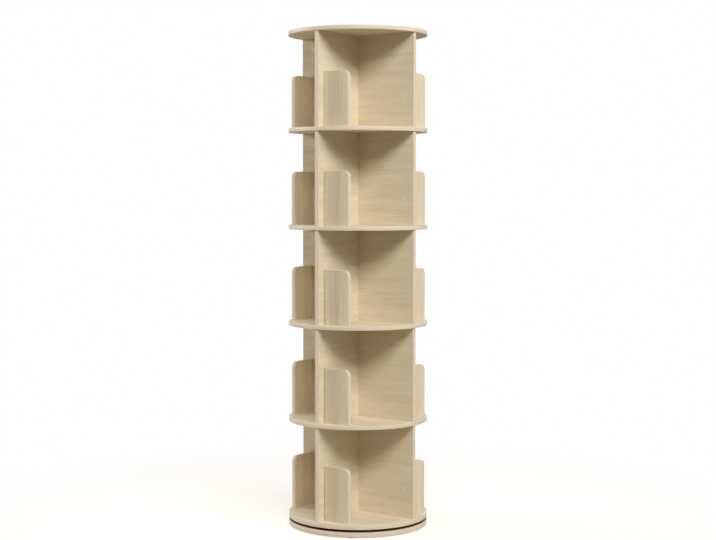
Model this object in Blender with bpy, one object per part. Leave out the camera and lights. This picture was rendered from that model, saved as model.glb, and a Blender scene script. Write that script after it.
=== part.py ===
"""A revolving bookcase: five open tiers of round boards and crossed panels that turn on a ring bearing.

The floor is z = 0 and the turning axis is Z. Each tier has four upright wings, along -Y, +X, +Y and -X.
The long panel makes the +X and -X wings, and two half panels butt against its faces.
Lengths are in metres.
"""

import math

import bmesh
import bpy
from mathutils import Matrix, Vector

# Driving dimensions

# A touching neighbour, or a screw in its hole, is this far away.
FIT_GAP = 0.0003
# A cutter runs past the face that it opens by this much.
OVERRUN = 0.002

# Edge-banded edges are eased by this much.
EDGE_EASE = 0.001

# Round boards
BOARD_RADIUS = 0.225
BASE_THICKNESS = 0.016
BOTTOM_SHELF_THICKNESS = 0.016
SHELF_THICKNESS = 0.013
TOP_THICKNESS = 0.013
TIERS = 5

# Upright panels, whose ends stop just short of the boards' rim
PANEL_THICKNESS = 0.013
PANEL_HEIGHT = 0.298
PANEL_SETBACK = 0.0035

# Book stops, one to a wing. The setback is from the rim to the middle of the stop's thickness
STOP_THICKNESS = 0.013
STOP_WIDTH = 0.096
STOP_HEIGHT = 0.173
STOP_CORNER_RADIUS = 0.020
STOP_SETBACK = 0.0385

# Pads under the base
PAD_RADIUS = 0.014
PAD_THICKNESS = 0.0025
PAD_SETBACK = 0.022
PAD_COUNT = 6

# Ring bearing between the base and the bottom shelf
BEARING_GAP = 0.008
RACE_RADIUS = 0.1333
RACE_HALF_WIDTH = 0.0046
RING_PLATE = 0.0012
RING_LIP_HEIGHT = 0.0032
LOWER_FLANGE_WIDTH = 0.012
UPPER_FLANGE_WIDTH = 0.010
BALL_CLEARANCE = 0.0002
BALL_COUNT = 12
CAGE_HALF_WIDTH = 0.0033
CAGE_THICKNESS = 0.0008

# Screws of the bearing, four to a ring
RING_SCREW_COUNT = 4
RING_SCREW_INSET = 0.0045
SHELF_SCREW_RADIUS = 0.0017
SHELF_SCREW_HEAD_RADIUS = 0.003
SHELF_SCREW_HEAD_HEIGHT = 0.0014
SHELF_SCREW_CROWN_RADIUS = 0.0024
SHELF_SCREW_DEPTH = 0.012
BASE_SCREW_RADIUS = 0.002
BASE_SCREW_HEAD_RADIUS = 0.004
BASE_SCREW_HEAD_TAPER = 0.003
BASE_SCREW_PROUD = 0.001

# How finely round shapes are cut
BOARD_SIDES = 96
RING_SIDES = 48
PAD_SIDES = 16
SCREW_SIDES = 8
BALL_SIDES = 10
BALL_BANDS = 6
CORNER_STEPS = 6

# Heights that follow from them
BASE_BOTTOM = PAD_THICKNESS + FIT_GAP
BASE_TOP = BASE_BOTTOM + BASE_THICKNESS
RACE_HEIGHT = BASE_TOP + BEARING_GAP / 2
BOTTOM_SHELF_BOTTOM = BASE_TOP + BEARING_GAP
FIRST_FLOOR = BOTTOM_SHELF_BOTTOM + BOTTOM_SHELF_THICKNESS
CLEAR_HEIGHT = PANEL_HEIGHT + 2 * FIT_GAP
TIER_PITCH = CLEAR_HEIGHT + SHELF_THICKNESS
TOP_BOTTOM = FIRST_FLOOR + (TIERS - 1) * TIER_PITCH + CLEAR_HEIGHT

# Places that follow from them
WING_FACE = PANEL_THICKNESS / 2
PANEL_REACH = BOARD_RADIUS - PANEL_SETBACK
STOP_RADIUS = BOARD_RADIUS - STOP_SETBACK
PAD_CIRCLE_RADIUS = BOARD_RADIUS - PAD_SETBACK
STOP_START = WING_FACE + FIT_GAP
LOWER_LIP_RADIUS = RACE_RADIUS - RACE_HALF_WIDTH - RING_PLATE
UPPER_LIP_RADIUS = RACE_RADIUS + RACE_HALF_WIDTH + RING_PLATE
LOWER_FLANGE_RADIUS = UPPER_LIP_RADIUS + LOWER_FLANGE_WIDTH
UPPER_FLANGE_RADIUS = LOWER_LIP_RADIUS - UPPER_FLANGE_WIDTH
BASE_SCREW_CIRCLE = LOWER_FLANGE_RADIUS - RING_SCREW_INSET
SHELF_SCREW_CIRCLE = UPPER_FLANGE_RADIUS + RING_SCREW_INSET
BALL_RADIUS = BEARING_GAP / 2 - FIT_GAP - RING_PLATE - BALL_CLEARANCE

# The wings in their order round the axis, anticlockwise from above, starting at -Y
WINGS = ("front", "right", "back", "left")
QUARTER_TURN = math.pi / 2


def clear_scene():
    """Remove the objects that the scene starts with."""
    for thing in list(bpy.data.objects):
        bpy.data.objects.remove(thing, do_unlink=True)


def linear(channel):
    """Turn one sRGB channel, from 0 to 255, into the linear value that a shader takes."""
    value = channel / 255
    return value / 12.92 if value <= 0.04045 else ((value + 0.055) / 1.055) ** 2.4


def finish(name, colour, roughness, metallic=0.0):
    """Make a material from an sRGB colour, its roughness and its metallic value."""
    material = bpy.data.materials.new(name)
    material.use_nodes = True
    shader = material.node_tree.nodes["Principled BSDF"]
    shader.inputs["Base Color"].default_value = [linear(channel) for channel in colour] + [1.0]
    shader.inputs["Roughness"].default_value = roughness
    shader.inputs["Metallic"].default_value = metallic
    return material


def moved(x=0.0, y=0.0, z=0.0):
    """A matrix that moves a shape."""
    return Matrix.Translation((x, y, z))


def turned(angle):
    """A matrix that turns a shape about the bookcase's axis."""
    return Matrix.Rotation(angle, 4, "Z")


def quarter(wing):
    """A matrix that carries a shape from the -Y wing to another wing."""
    return turned(wing * QUARTER_TURN)


def floor_height(tier):
    """The height that the panels and stops of a tier stand on, with tiers counted from 1 at the bottom."""
    return FIRST_FLOOR + (tier - 1) * TIER_PITCH


def hole(radius, sides=SCREW_SIDES):
    """The corner radius of a many-sided hole that clears a round screw or ball by the fit gap."""
    return (radius + FIT_GAP) / math.cos(math.pi / sides)


def add_prism(bm, outline, height, place=Matrix()):
    """Add a closed outline of (x, y) points, extruded up by a height and then put in its place."""
    floor = bm.faces.new([bm.verts.new((x, y, 0.0)) for x, y in outline])
    grown = bmesh.ops.extrude_face_region(bm, geom=[floor])["geom"]
    upper = [item for item in grown if isinstance(item, bmesh.types.BMVert)]
    bmesh.ops.translate(bm, vec=(0.0, 0.0, height), verts=upper)
    bmesh.ops.transform(bm, matrix=place, verts=upper + list(floor.verts))


def add_layers(bm, layers, place=Matrix()):
    """Add a solid through layers of corners, each joined to the next, with a flat cap at each end."""
    rings = [[bm.verts.new(place @ Vector(corner)) for corner in layer] for layer in layers]
    for lower, upper in zip(rings, rings[1:]):
        for here in range(len(lower)):
            after = (here + 1) % len(lower)
            bm.faces.new((lower[here], lower[after], upper[after], upper[here]))
    bm.faces.new(rings[0])
    bm.faces.new(rings[-1])


def add_turned(bm, profile, sides, place=Matrix()):
    """Add a profile of (radius, height) points turned about Z."""
    angles = [2 * math.pi * step / sides for step in range(sides)]
    layers = []
    for radius, height in profile:
        layers.append([(radius * math.cos(angle), radius * math.sin(angle), height) for angle in angles])
    add_layers(bm, layers, place)


def add_ring(bm, section, sides):
    """Add a closed section of (radius, height) points, spun once round the axis."""
    corners = [bm.verts.new((radius, 0.0, height)) for radius, height in section]
    edges = [bm.edges.new(pair) for pair in zip(corners, corners[1:] + corners[:1])]
    bmesh.ops.spin(bm, geom=corners + edges, cent=(0, 0, 0), axis=(0, 0, 1),
                   angle=2 * math.pi, steps=sides, use_merge=True)


def solid(name, build):
    """Make mesh data of closed solids from a function that fills a bmesh."""
    bm = bmesh.new()
    build(bm)
    bmesh.ops.recalc_face_normals(bm, faces=bm.faces)
    mesh = bpy.data.meshes.new(name)
    bm.to_mesh(mesh)
    bm.free()
    return mesh


def combined(mesh, operation, build):
    """Cut what a function adds out of a mesh, or join it on, and give back the new mesh."""
    blank = bpy.data.objects.new(mesh.name, mesh)
    tool = bpy.data.objects.new("tool", solid("tool", build))
    tool.hide_render = True
    tool.display_type = "WIRE"
    for helper in (blank, tool):
        bpy.context.collection.objects.link(helper)
    boolean = blank.modifiers.new("boolean", "BOOLEAN")
    boolean.operation = operation
    boolean.solver = "EXACT"
    boolean.object = tool
    depsgraph = bpy.context.evaluated_depsgraph_get()
    result = bpy.data.meshes.new_from_object(blank.evaluated_get(depsgraph))
    result.name = mesh.name
    for helper in (blank, tool):
        bpy.data.objects.remove(helper, do_unlink=True)
    return result


def put(name, mesh, material, parent, place=Matrix()):
    """Add one sub-part under its body's empty, with its own finish."""
    piece = bpy.data.objects.new(name, mesh)
    bpy.context.collection.objects.link(piece)
    if not mesh.materials:
        mesh.materials.append(None)
    piece.material_slots[0].link = "OBJECT"
    piece.material_slots[0].material = material
    mesh.shade_smooth()
    mesh.set_sharp_from_angle(angle=math.radians(35))
    piece.parent = parent
    piece.matrix_world = place
    return piece


def add_empty(name, height, parent=None):
    """Add an empty on the turning axis, which carries the pieces of one body."""
    empty = bpy.data.objects.new(name, None)
    bpy.context.collection.objects.link(empty)
    empty.parent = parent
    empty.location = (0.0, 0.0, height)
    bpy.context.view_layer.update()
    return empty


# Round boards

def round_board(name, thickness):
    """A round board that stands on z = 0, with the edges of its rim eased."""
    face = BOARD_RADIUS - EDGE_EASE
    upper = thickness - EDGE_EASE
    profile = ((face, 0.0), (BOARD_RADIUS, EDGE_EASE), (BOARD_RADIUS, upper), (face, thickness))
    return solid(name, lambda bm: add_turned(bm, profile, BOARD_SIDES))


def screw_places(circle):
    """The places of a ring's screws, halfway between the wings."""
    for index in range(RING_SCREW_COUNT):
        yield turned(QUARTER_TURN / 2 + 2 * math.pi * index / RING_SCREW_COUNT) @ moved(circle)


def base_board_mesh():
    """The fixed board, with countersunk holes for the screws that come up into the lower ring."""
    wide = hole(BASE_SCREW_HEAD_RADIUS)
    narrow = hole(BASE_SCREW_RADIUS)
    profile = ((wide, -OVERRUN), (wide, 0.0), (narrow, BASE_SCREW_HEAD_TAPER),
               (narrow, BASE_THICKNESS + OVERRUN))

    def holes(bm):
        for place in screw_places(BASE_SCREW_CIRCLE):
            add_turned(bm, profile, SCREW_SIDES, place)
    return combined(round_board("base_board", BASE_THICKNESS), "DIFFERENCE", holes)


def bottom_shelf_mesh():
    """The lowest shelf, with blind holes for the screws that hold the upper ring under it."""
    radius = hole(SHELF_SCREW_RADIUS)
    profile = ((radius, -OVERRUN), (radius, SHELF_SCREW_DEPTH + FIT_GAP))

    def holes(bm):
        for place in screw_places(SHELF_SCREW_CIRCLE):
            add_turned(bm, profile, SCREW_SIDES, place)
    return combined(round_board("bottom_shelf", BOTTOM_SHELF_THICKNESS), "DIFFERENCE", holes)


# Upright panels and stops, drawn with the floor of their tier at z = 0

def panel_mesh(name, outline):
    """An upright panel with the outline that it has from above."""
    return solid(name, lambda bm: add_prism(bm, outline, PANEL_HEIGHT, moved(z=FIT_GAP)))


def long_panel_mesh():
    """The panel that crosses the whole bookcase: the +X and the -X wing. Its two ends are eased."""
    face = WING_FACE - EDGE_EASE
    side = PANEL_REACH - EDGE_EASE
    outline = ((-side, -WING_FACE), (side, -WING_FACE), (PANEL_REACH, -face), (PANEL_REACH, face),
               (side, WING_FACE), (-side, WING_FACE), (-PANEL_REACH, face), (-PANEL_REACH, -face))
    return panel_mesh("long_panel", outline)


def half_panel_mesh():
    """The -Y wing, which butts against the long panel's face. Its outer end is eased."""
    face = WING_FACE - EDGE_EASE
    side = PANEL_REACH - EDGE_EASE
    butt = WING_FACE + FIT_GAP
    outline = ((-face, -PANEL_REACH), (face, -PANEL_REACH), (WING_FACE, -side),
               (WING_FACE, -butt), (-WING_FACE, -butt), (-WING_FACE, -side))
    return panel_mesh("half_panel", outline)


def stop_layer(ease, depth):
    """The outline of a stop with a rounded upper outer corner, drawn in by an ease, at a depth along Y."""
    end = STOP_START + STOP_WIDTH - ease
    top = FIT_GAP + STOP_HEIGHT - ease
    radius = STOP_CORNER_RADIUS - ease
    corners = [(STOP_START, depth, FIT_GAP), (end, depth, FIT_GAP)]
    for step in range(CORNER_STEPS + 1):
        angle = QUARTER_TURN * step / CORNER_STEPS
        across = end - radius * (1 - math.cos(angle))
        corners.append((across, depth, top - radius * (1 - math.sin(angle))))
    corners.append((STOP_START, depth, top))
    return corners


def stop_mesh():
    """The book stop of the -Y wing. Its top, its rounded corner and its outer end are eased."""
    face = STOP_THICKNESS / 2
    edge = face - EDGE_EASE
    places = ((EDGE_EASE, -face), (0.0, -edge), (0.0, edge), (EDGE_EASE, face))
    layers = [stop_layer(ease, depth) for ease, depth in places]
    return solid("stop", lambda bm: add_layers(bm, layers, moved(y=-STOP_RADIUS)))


# Pads under the base

def foot_pad_mesh():
    """A round pad that stands on the floor."""
    profile = ((PAD_RADIUS, 0.0), (PAD_RADIUS, PAD_THICKNESS))
    return solid("foot_pad", lambda bm: add_turned(bm, profile, PAD_SIDES))


# Ring bearing

def ring_mesh(name, section, circle, screw_radius):
    """A pressed ring with a hole for each of its screws."""
    radius = hole(screw_radius)
    profile = ((radius, BASE_TOP - OVERRUN), (radius, BOTTOM_SHELF_BOTTOM + OVERRUN))

    def holes(bm):
        for place in screw_places(circle):
            add_turned(bm, profile, SCREW_SIDES, place)
    return combined(solid(name, lambda bm: add_ring(bm, section, RING_SIDES)), "DIFFERENCE", holes)


def lower_ring_mesh():
    """The fixed ring: a flat flange on the base, with a lip that stands inside the balls."""
    foot = BASE_TOP + FIT_GAP
    plate = foot + RING_PLATE
    lip = plate + RING_LIP_HEIGHT
    section = ((LOWER_LIP_RADIUS, foot), (LOWER_FLANGE_RADIUS, foot), (LOWER_FLANGE_RADIUS, plate),
               (LOWER_LIP_RADIUS + RING_PLATE, plate), (LOWER_LIP_RADIUS + RING_PLATE, lip),
               (LOWER_LIP_RADIUS, lip))
    return ring_mesh("bearing_lower_ring", section, BASE_SCREW_CIRCLE, BASE_SCREW_RADIUS)


def upper_ring_mesh():
    """The turning ring: a flat flange under the bottom shelf, with a lip that hangs outside the balls."""
    head = BOTTOM_SHELF_BOTTOM - FIT_GAP
    plate = head - RING_PLATE
    lip = plate - RING_LIP_HEIGHT
    section = ((UPPER_FLANGE_RADIUS, head), (UPPER_FLANGE_RADIUS, plate),
               (UPPER_LIP_RADIUS - RING_PLATE, plate), (UPPER_LIP_RADIUS - RING_PLATE, lip),
               (UPPER_LIP_RADIUS, lip), (UPPER_LIP_RADIUS, head))
    return ring_mesh("bearing_upper_ring", section, SHELF_SCREW_CIRCLE, SHELF_SCREW_RADIUS)


def ball_cage_mesh():
    """The thin ring that spaces the balls, with the balls held in it."""
    half = CAGE_THICKNESS / 2
    inside = RACE_RADIUS - CAGE_HALF_WIDTH
    outside = RACE_RADIUS + CAGE_HALF_WIDTH
    section = ((inside, RACE_HEIGHT - half), (outside, RACE_HEIGHT - half),
               (outside, RACE_HEIGHT + half), (inside, RACE_HEIGHT + half))

    def balls(bm):
        for index in range(BALL_COUNT):
            place = turned(2 * math.pi * index / BALL_COUNT) @ moved(RACE_RADIUS, z=RACE_HEIGHT)
            bmesh.ops.create_uvsphere(bm, u_segments=BALL_SIDES, v_segments=BALL_BANDS,
                                      radius=BALL_RADIUS, matrix=place)
    return combined(solid("ball_cage", lambda bm: add_ring(bm, section, RING_SIDES)), "UNION", balls)


def base_screw_mesh():
    """A countersunk screw up through the base board and the lower ring's flange."""
    tip = BASE_THICKNESS + FIT_GAP + RING_PLATE + BASE_SCREW_PROUD
    profile = ((BASE_SCREW_HEAD_RADIUS, 0.0), (BASE_SCREW_RADIUS, BASE_SCREW_HEAD_TAPER),
               (BASE_SCREW_RADIUS, tip))
    return solid("base_screw", lambda bm: add_turned(bm, profile, SCREW_SIDES))


def shelf_screw_mesh():
    """A pan-head screw up through the upper ring's flange, drawn from the shelf's underside."""
    seat = -2 * FIT_GAP - RING_PLATE
    profile = ((SHELF_SCREW_CROWN_RADIUS, seat - SHELF_SCREW_HEAD_HEIGHT), (SHELF_SCREW_HEAD_RADIUS, seat),
               (SHELF_SCREW_RADIUS, seat), (SHELF_SCREW_RADIUS, SHELF_SCREW_DEPTH))
    return solid("shelf_screw", lambda bm: add_turned(bm, profile, SCREW_SIDES))


# The three bodies

def build_base():
    """The fixed body: base board, pads, and the bearing's lower ring with its screws."""
    body = add_empty("base", 0.0)
    board = finish("base_board_wood_decor", (214, 199, 174), 0.5)
    put("base_board", base_board_mesh(), board, body, moved(z=BASE_BOTTOM))
    rubber = finish("foot_pad_rubber", (58, 56, 54), 0.85)
    pad = foot_pad_mesh()
    for index in range(PAD_COUNT):
        place = turned(2 * math.pi * index / PAD_COUNT) @ moved(PAD_CIRCLE_RADIUS)
        put(f"foot_pad_{index + 1}", pad, rubber, body, place)
    put("bearing_lower_ring", lower_ring_mesh(), finish("lower_ring_steel", (178, 180, 182), 0.38, 1.0), body)
    screw_steel = finish("base_screw_steel", (168, 169, 172), 0.35, 1.0)
    screw = base_screw_mesh()
    for index, place in enumerate(screw_places(BASE_SCREW_CIRCLE)):
        put(f"base_screw_{index + 1}", screw, screw_steel, body, moved(z=BASE_BOTTOM) @ place)
    return body


def build_ball_cage(base):
    """The caged balls, which turn at half the bookcase's speed."""
    body = add_empty("ball_cage_axis", RACE_HEIGHT, base)
    put("ball_cage", ball_cage_mesh(), finish("ball_cage_steel", (190, 191, 194), 0.2, 1.0), body)


def build_boards(body):
    """The turning boards: five shelves and the top."""
    bottom = finish("bottom_shelf_wood_decor", (219, 204, 178), 0.5)
    put("shelf_1", bottom_shelf_mesh(), bottom, body, moved(z=BOTTOM_SHELF_BOTTOM))
    middle = finish("shelf_wood_decor", (219, 204, 178), 0.5)
    shelf = round_board("shelf", SHELF_THICKNESS)
    for tier in range(2, TIERS + 1):
        put(f"shelf_{tier}", shelf, middle, body, moved(z=floor_height(tier) - SHELF_THICKNESS))
    top = finish("top_board_wood_decor", (222, 207, 182), 0.5)
    put("top_board", round_board("top_board", TOP_THICKNESS), top, body, moved(z=TOP_BOTTOM))


def build_uprights(body):
    """The panels and stops of every tier."""
    long_finish = finish("long_panel_wood_decor", (204, 189, 162), 0.5)
    half_finish = finish("half_panel_wood_decor", (206, 192, 166), 0.5)
    stop_finish = finish("stop_wood_decor", (200, 185, 157), 0.5)
    long_panel = long_panel_mesh()
    half_panel = half_panel_mesh()
    stop = stop_mesh()
    for tier in range(1, TIERS + 1):
        floor = moved(z=floor_height(tier))
        put(f"long_panel_{tier}", long_panel, long_finish, body, floor)
        put(f"half_panel_front_{tier}", half_panel, half_finish, body, floor)
        put(f"half_panel_back_{tier}", half_panel, half_finish, body, floor @ quarter(WINGS.index("back")))
        for wing, side in enumerate(WINGS):
            put(f"stop_{side}_{tier}", stop, stop_finish, body, floor @ quarter(wing))


def build_upper_ring(body):
    """The bearing's turning ring and its screws."""
    put("bearing_upper_ring", upper_ring_mesh(), finish("upper_ring_steel", (178, 180, 182), 0.38, 1.0), body)
    screw_steel = finish("shelf_screw_steel", (168, 169, 172), 0.35, 1.0)
    screw = shelf_screw_mesh()
    for index, place in enumerate(screw_places(SHELF_SCREW_CIRCLE)):
        put(f"shelf_screw_{index + 1}", screw, screw_steel, body, moved(z=BOTTOM_SHELF_BOTTOM) @ place)


def main():
    """Build the bookcase."""
    clear_scene()
    base = build_base()
    build_ball_cage(base)
    carousel = add_empty("carousel_axis", RACE_HEIGHT, base)
    build_upper_ring(carousel)
    build_boards(carousel)
    build_uprights(carousel)


main()
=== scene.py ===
# %% [markdown]
# # A revolving bookcase
#
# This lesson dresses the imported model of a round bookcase: five open tiers that turn together on a ring
# bearing, above a fixed round base. The real one is flat-pack furniture, made of particle board with a
# printed wood-grain face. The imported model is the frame. It says where everything is and what turns, and
# it is never changed here.

# %% Load the frame
import math

import bmesh
import bpy
from mathutils import Matrix, Vector


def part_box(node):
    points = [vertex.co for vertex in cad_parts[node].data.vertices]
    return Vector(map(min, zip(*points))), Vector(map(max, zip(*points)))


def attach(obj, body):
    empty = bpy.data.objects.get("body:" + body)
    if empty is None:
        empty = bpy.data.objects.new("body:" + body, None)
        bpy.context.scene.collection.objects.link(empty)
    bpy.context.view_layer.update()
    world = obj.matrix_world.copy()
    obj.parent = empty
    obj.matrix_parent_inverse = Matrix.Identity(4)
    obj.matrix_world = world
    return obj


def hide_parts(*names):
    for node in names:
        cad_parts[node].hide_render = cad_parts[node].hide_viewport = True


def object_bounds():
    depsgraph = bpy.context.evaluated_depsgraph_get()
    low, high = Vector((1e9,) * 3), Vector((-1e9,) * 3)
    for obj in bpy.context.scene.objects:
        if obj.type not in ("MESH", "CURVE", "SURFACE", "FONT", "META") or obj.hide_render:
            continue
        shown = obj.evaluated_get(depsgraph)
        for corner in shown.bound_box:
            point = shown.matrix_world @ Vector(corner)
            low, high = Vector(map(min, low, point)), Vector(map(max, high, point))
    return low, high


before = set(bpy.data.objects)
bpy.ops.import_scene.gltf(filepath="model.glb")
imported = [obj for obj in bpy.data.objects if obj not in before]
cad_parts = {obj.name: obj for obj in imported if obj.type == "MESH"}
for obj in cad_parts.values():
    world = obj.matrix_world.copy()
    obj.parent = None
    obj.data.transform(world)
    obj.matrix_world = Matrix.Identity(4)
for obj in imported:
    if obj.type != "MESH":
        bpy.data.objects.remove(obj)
cad_box = [list(corner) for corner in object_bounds()]
bpy.ops.object.select_all(action="DESELECT")
size = [round(high - low, 4) for low, high in zip(*cad_box)]
print(len(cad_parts), "solids, in a box of", size, "m")

# %% [markdown]
# ## Sizes
#
# Every size that the frame knows is read from it, so the pieces fit without any guessing. Only what is too
# fine for the frame gets a value of its own: the plastic band that is glued to a cut edge, the glue line
# beside it, and how far the band's edges are rounded. Lengths are in metres, apart from the camera lens.

# %% Sizes
TIERS = range(1, 6)
WINGS = ("front", "right", "back", "left")
QUARTER = math.pi / 2
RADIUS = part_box("base_board")[1].x
HALF_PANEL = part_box("half_panel_front_1")[1].x
FLOORS = [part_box(f"shelf_{tier}")[1].z for tier in TIERS]
CEILINGS = [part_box(f"shelf_{tier}")[0].z for tier in TIERS[1:]] + [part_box("top_board")[0].z]
STOP_MIDDLE = (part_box("stop_front_1")[0].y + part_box("stop_front_1")[1].y) / 2
BAND = 0.001
GLUE_LINE = 0.0002
EASE = 0.0008
EASE_STEPS = 3
print("floors at", [round(floor, 4) for floor in FLOORS])
print("ceilings at", [round(ceiling, 4) for ceiling in CEILINGS])

# %% [markdown]
# ## Camera
#
# The camera stands almost five metres away with a long lens, at the height of the fourth tier, so the top
# board is seen from below and the lower ones from above. It looks slightly down and leaves the rest to a
# little shift.

# %% Camera
AZIMUTH = math.radians(35.8)
DISTANCE = 4.8312
EYE_HEIGHT = 1.0985
PITCH = 0.04597
# The lens and its sensor, in millimetres. The shifts are shares of the sensor's width.
FOCAL_LENGTH = 74.684
SENSOR_WIDTH = 36.0
SHIFT_X = 0.0001
SHIFT_Y = -0.0197

lens = bpy.data.cameras.new("camera")
lens.lens = FOCAL_LENGTH
lens.sensor_width = SENSOR_WIDTH
lens.shift_x = SHIFT_X
lens.shift_y = SHIFT_Y
camera = bpy.data.objects.new("camera", lens)
bpy.context.scene.collection.objects.link(camera)
camera.location = (DISTANCE * math.sin(AZIMUTH), -DISTANCE * math.cos(AZIMUTH), EYE_HEIGHT)
camera.rotation_euler = (QUARTER - PITCH, 0.0, AZIMUTH)
bpy.context.scene.camera = camera
print("camera at", [round(value, 3) for value in camera.location])

# %% [markdown]
# ## Helpers for materials
#
# A colour is written as the hex code that a colour picker shows. The shader wants linear light, so one
# function converts it, with the numbers of the sRGB standard. Another adds a node, sets its options, and
# fills its inputs with values or with other nodes' outputs. Inputs that share a name are reached by their
# number, and the numbers get names here.

# %% Colours and nodes
# The inputs of a node that tells them apart by order alone. A Math node that multiplies and adds gives FIRST
# times SECOND plus THIRD, and a Mix Shader node takes a share and then two shaders.
FIRST, SECOND, THIRD = range(3)
# The inputs of a Map Range node, after its value.
FROM_LOW, FROM_HIGH, TO_LOW, TO_HIGH = range(1, 5)
# The inputs and the output of a Mix node that mixes colours.
SHARE, COLOUR_A, COLOUR_B = 0, 6, 7
MIXED = 2


def linear(code):
    """Turn an sRGB hex code into the linear colour that a shader takes."""
    channels = [int(code[start:start + 2], 16) / 255 for start in (0, 2, 4)]
    return [c / 12.92 if c <= 0.04045 else ((c + 0.055) / 1.055) ** 2.4 for c in channels] + [1.0]


def add_node(tree, kind, options, inputs):
    """Add a node to a tree, with its options, and with a value or a link for each input."""
    node = tree.nodes.new(kind)
    for name, value in options.items():
        setattr(node, name, value)
    for name, value in inputs.items():
        if isinstance(value, bpy.types.NodeSocket):
            tree.links.new(value, node.inputs[name])
        else:
            node.inputs[name].default_value = value
    return node


def new_material(name, roughness, metallic=0.0, ior=1.5):
    """Make a material, and give back it, its tree and its main shader."""
    material = bpy.data.materials.new(name)
    material.use_nodes = True
    shader = material.node_tree.nodes["Principled BSDF"]
    shader.inputs["Roughness"].default_value = roughness
    shader.inputs["Metallic"].default_value = metallic
    if not metallic:
        shader.inputs["IOR"].default_value = ior
    return material, material.node_tree, shader


print("mid grey is", round(linear("808080")[0], 3), "in linear light")

# %% [markdown]
# ## Melamine board
#
# The board's face is melamine: paper printed with a light maple grain, soaked in resin and pressed on hot.
# It gives the eye a satin sheen and long quiet streaks, with fine darker pores. A photo texture would do,
# but four noises are enough: for broad bands of tone, for streaks, for fibres and for pores. All are
# stretched along the grain. They read a UV map named grain, which holds metres along the grain and metres
# across it, so that each piece gets the direction of its own foil and the sizes below are real ones.

# %% The print's pattern
# The grain wavers by about 4 mm to either side over a third of a metre.
WAVER_SCALE = (3.0, 14.0, 1.0)
WAVER_WIDTH = 0.008
# Each layer's repeats in a metre, along and across the grain, and its detail. Bands of tone are about 25 mm
# wide, streaks about 5 mm and fibres 1.5 mm. Real pores are 0.2 mm wide, too fine to show, so they are drawn
# three times as wide.
LAYERS = (
    ((2.5, 38.0, 1.0), 2.0),
    ((7.0, 190.0, 1.0), 3.0),
    ((16.0, 650.0, 1.0), 2.0),
    ((70.0, 1500.0, 1.0), 1.0),
)
# The noise at which the bands go from the usual tone to the pale one.
BANDS = (0.34, 0.66)
# How much noise it takes for a layer to start and to be full, and how much of the deep colour it then adds.
STREAKS = (0.46, 0.74, 0.38)
FIBRES = (0.50, 0.70, 0.30)
PORES = (0.60, 0.70, 0.45)
PORE_ROUGHNESS = 0.12
PORE_DEPTH = 0.0001
PORE_STRENGTH = 0.25
print(len(LAYERS), "layers, with up to", LAYERS[3][0][1], "repeats in a metre across the grain")


# %% Melamine
def melamine(name, pale, tone, deep, roughness):
    """A printed wood-grain foil, from its palest, its usual and its deepest colour."""
    material, tree, shader = new_material(name, roughness)
    foil = add_node(tree, "ShaderNodeUVMap", {"uv_map": "grain"}, {})
    slow = add_node(tree, "ShaderNodeMapping", {}, {"Vector": foil.outputs[0], "Scale": WAVER_SCALE})
    waver = add_node(tree, "ShaderNodeTexNoise", {},
                     {"Vector": slow.outputs[0], "Scale": 1.0, "Detail": 1.0})
    across = add_node(tree, "ShaderNodeVectorMath", {"operation": "MULTIPLY_ADD"},
                      {FIRST: waver.outputs["Color"], SECOND: (0.0, WAVER_WIDTH, 0.0),
                       THIRD: foil.outputs[0]})
    layers = []
    for scale, detail in LAYERS:
        stretched = add_node(tree, "ShaderNodeMapping", {}, {"Vector": across.outputs[0], "Scale": scale})
        noise = add_node(tree, "ShaderNodeTexNoise", {},
                         {"Vector": stretched.outputs[0], "Scale": 1.0, "Detail": detail})
        layers.append(noise.outputs[0])
    band = add_node(tree, "ShaderNodeMapRange", {},
                    {"Value": layers[0], FROM_LOW: BANDS[0], FROM_HIGH: BANDS[1]}).outputs[0]
    colour = add_node(tree, "ShaderNodeMix", {"data_type": "RGBA"},
                      {SHARE: band, COLOUR_A: linear(tone), COLOUR_B: linear(pale)}).outputs[MIXED]
    for layer, (begin, full, most) in zip(layers[1:], (STREAKS, FIBRES, PORES)):
        amount = add_node(tree, "ShaderNodeMapRange", {},
                          {"Value": layer, FROM_LOW: begin, FROM_HIGH: full, TO_HIGH: most}).outputs[0]
        colour = add_node(tree, "ShaderNodeMix", {"data_type": "RGBA"},
                          {SHARE: amount, COLOUR_A: colour, COLOUR_B: linear(deep)}).outputs[MIXED]
    tree.links.new(colour, shader.inputs["Base Color"])
    # The pores are pressed in, so they are a little rougher and catch the light.
    pore = add_node(tree, "ShaderNodeMapRange", {},
                    {"Value": layers[3], FROM_LOW: PORES[0], FROM_HIGH: PORES[1]})
    rough = add_node(tree, "ShaderNodeMath", {"operation": "MULTIPLY_ADD"},
                     {FIRST: pore.outputs[0], SECOND: PORE_ROUGHNESS, THIRD: roughness})
    tree.links.new(rough.outputs[0], shader.inputs["Roughness"])
    relief = add_node(tree, "ShaderNodeBump", {"invert": True},
                      {"Strength": PORE_STRENGTH, "Distance": PORE_DEPTH, "Height": pore.outputs[0]})
    tree.links.new(relief.outputs[0], shader.inputs["Normal"])
    return material


face_foil = melamine("maple_melamine_face", "DFD2B9", "D5C6A9", "C2B08C", 0.68)
edge_band = melamine("maple_abs_edge_band", "D9CCB6", "D5C6AE", "C4B597", 0.50)
print("made", face_foil.name, "and", edge_band.name)

# %% [markdown]
# ## The other finishes
#
# The glue line between face and band is hot-melt glue, darker than the foil. Caps are injection-moulded
# polypropylene in the board's colour. The pads are moulded rubber, and the bearing is zinc-plated pressed
# steel with polished balls. Each gets its own slight unevenness from a noise in object space.

# %% Glue, plastic, rubber and steel
SPECK_RANGE = (0.3, 0.7)
SPECK_DETAIL = 3.0
SPECK_STRENGTH = 0.4
UNEVENNESS = 0.10


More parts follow.
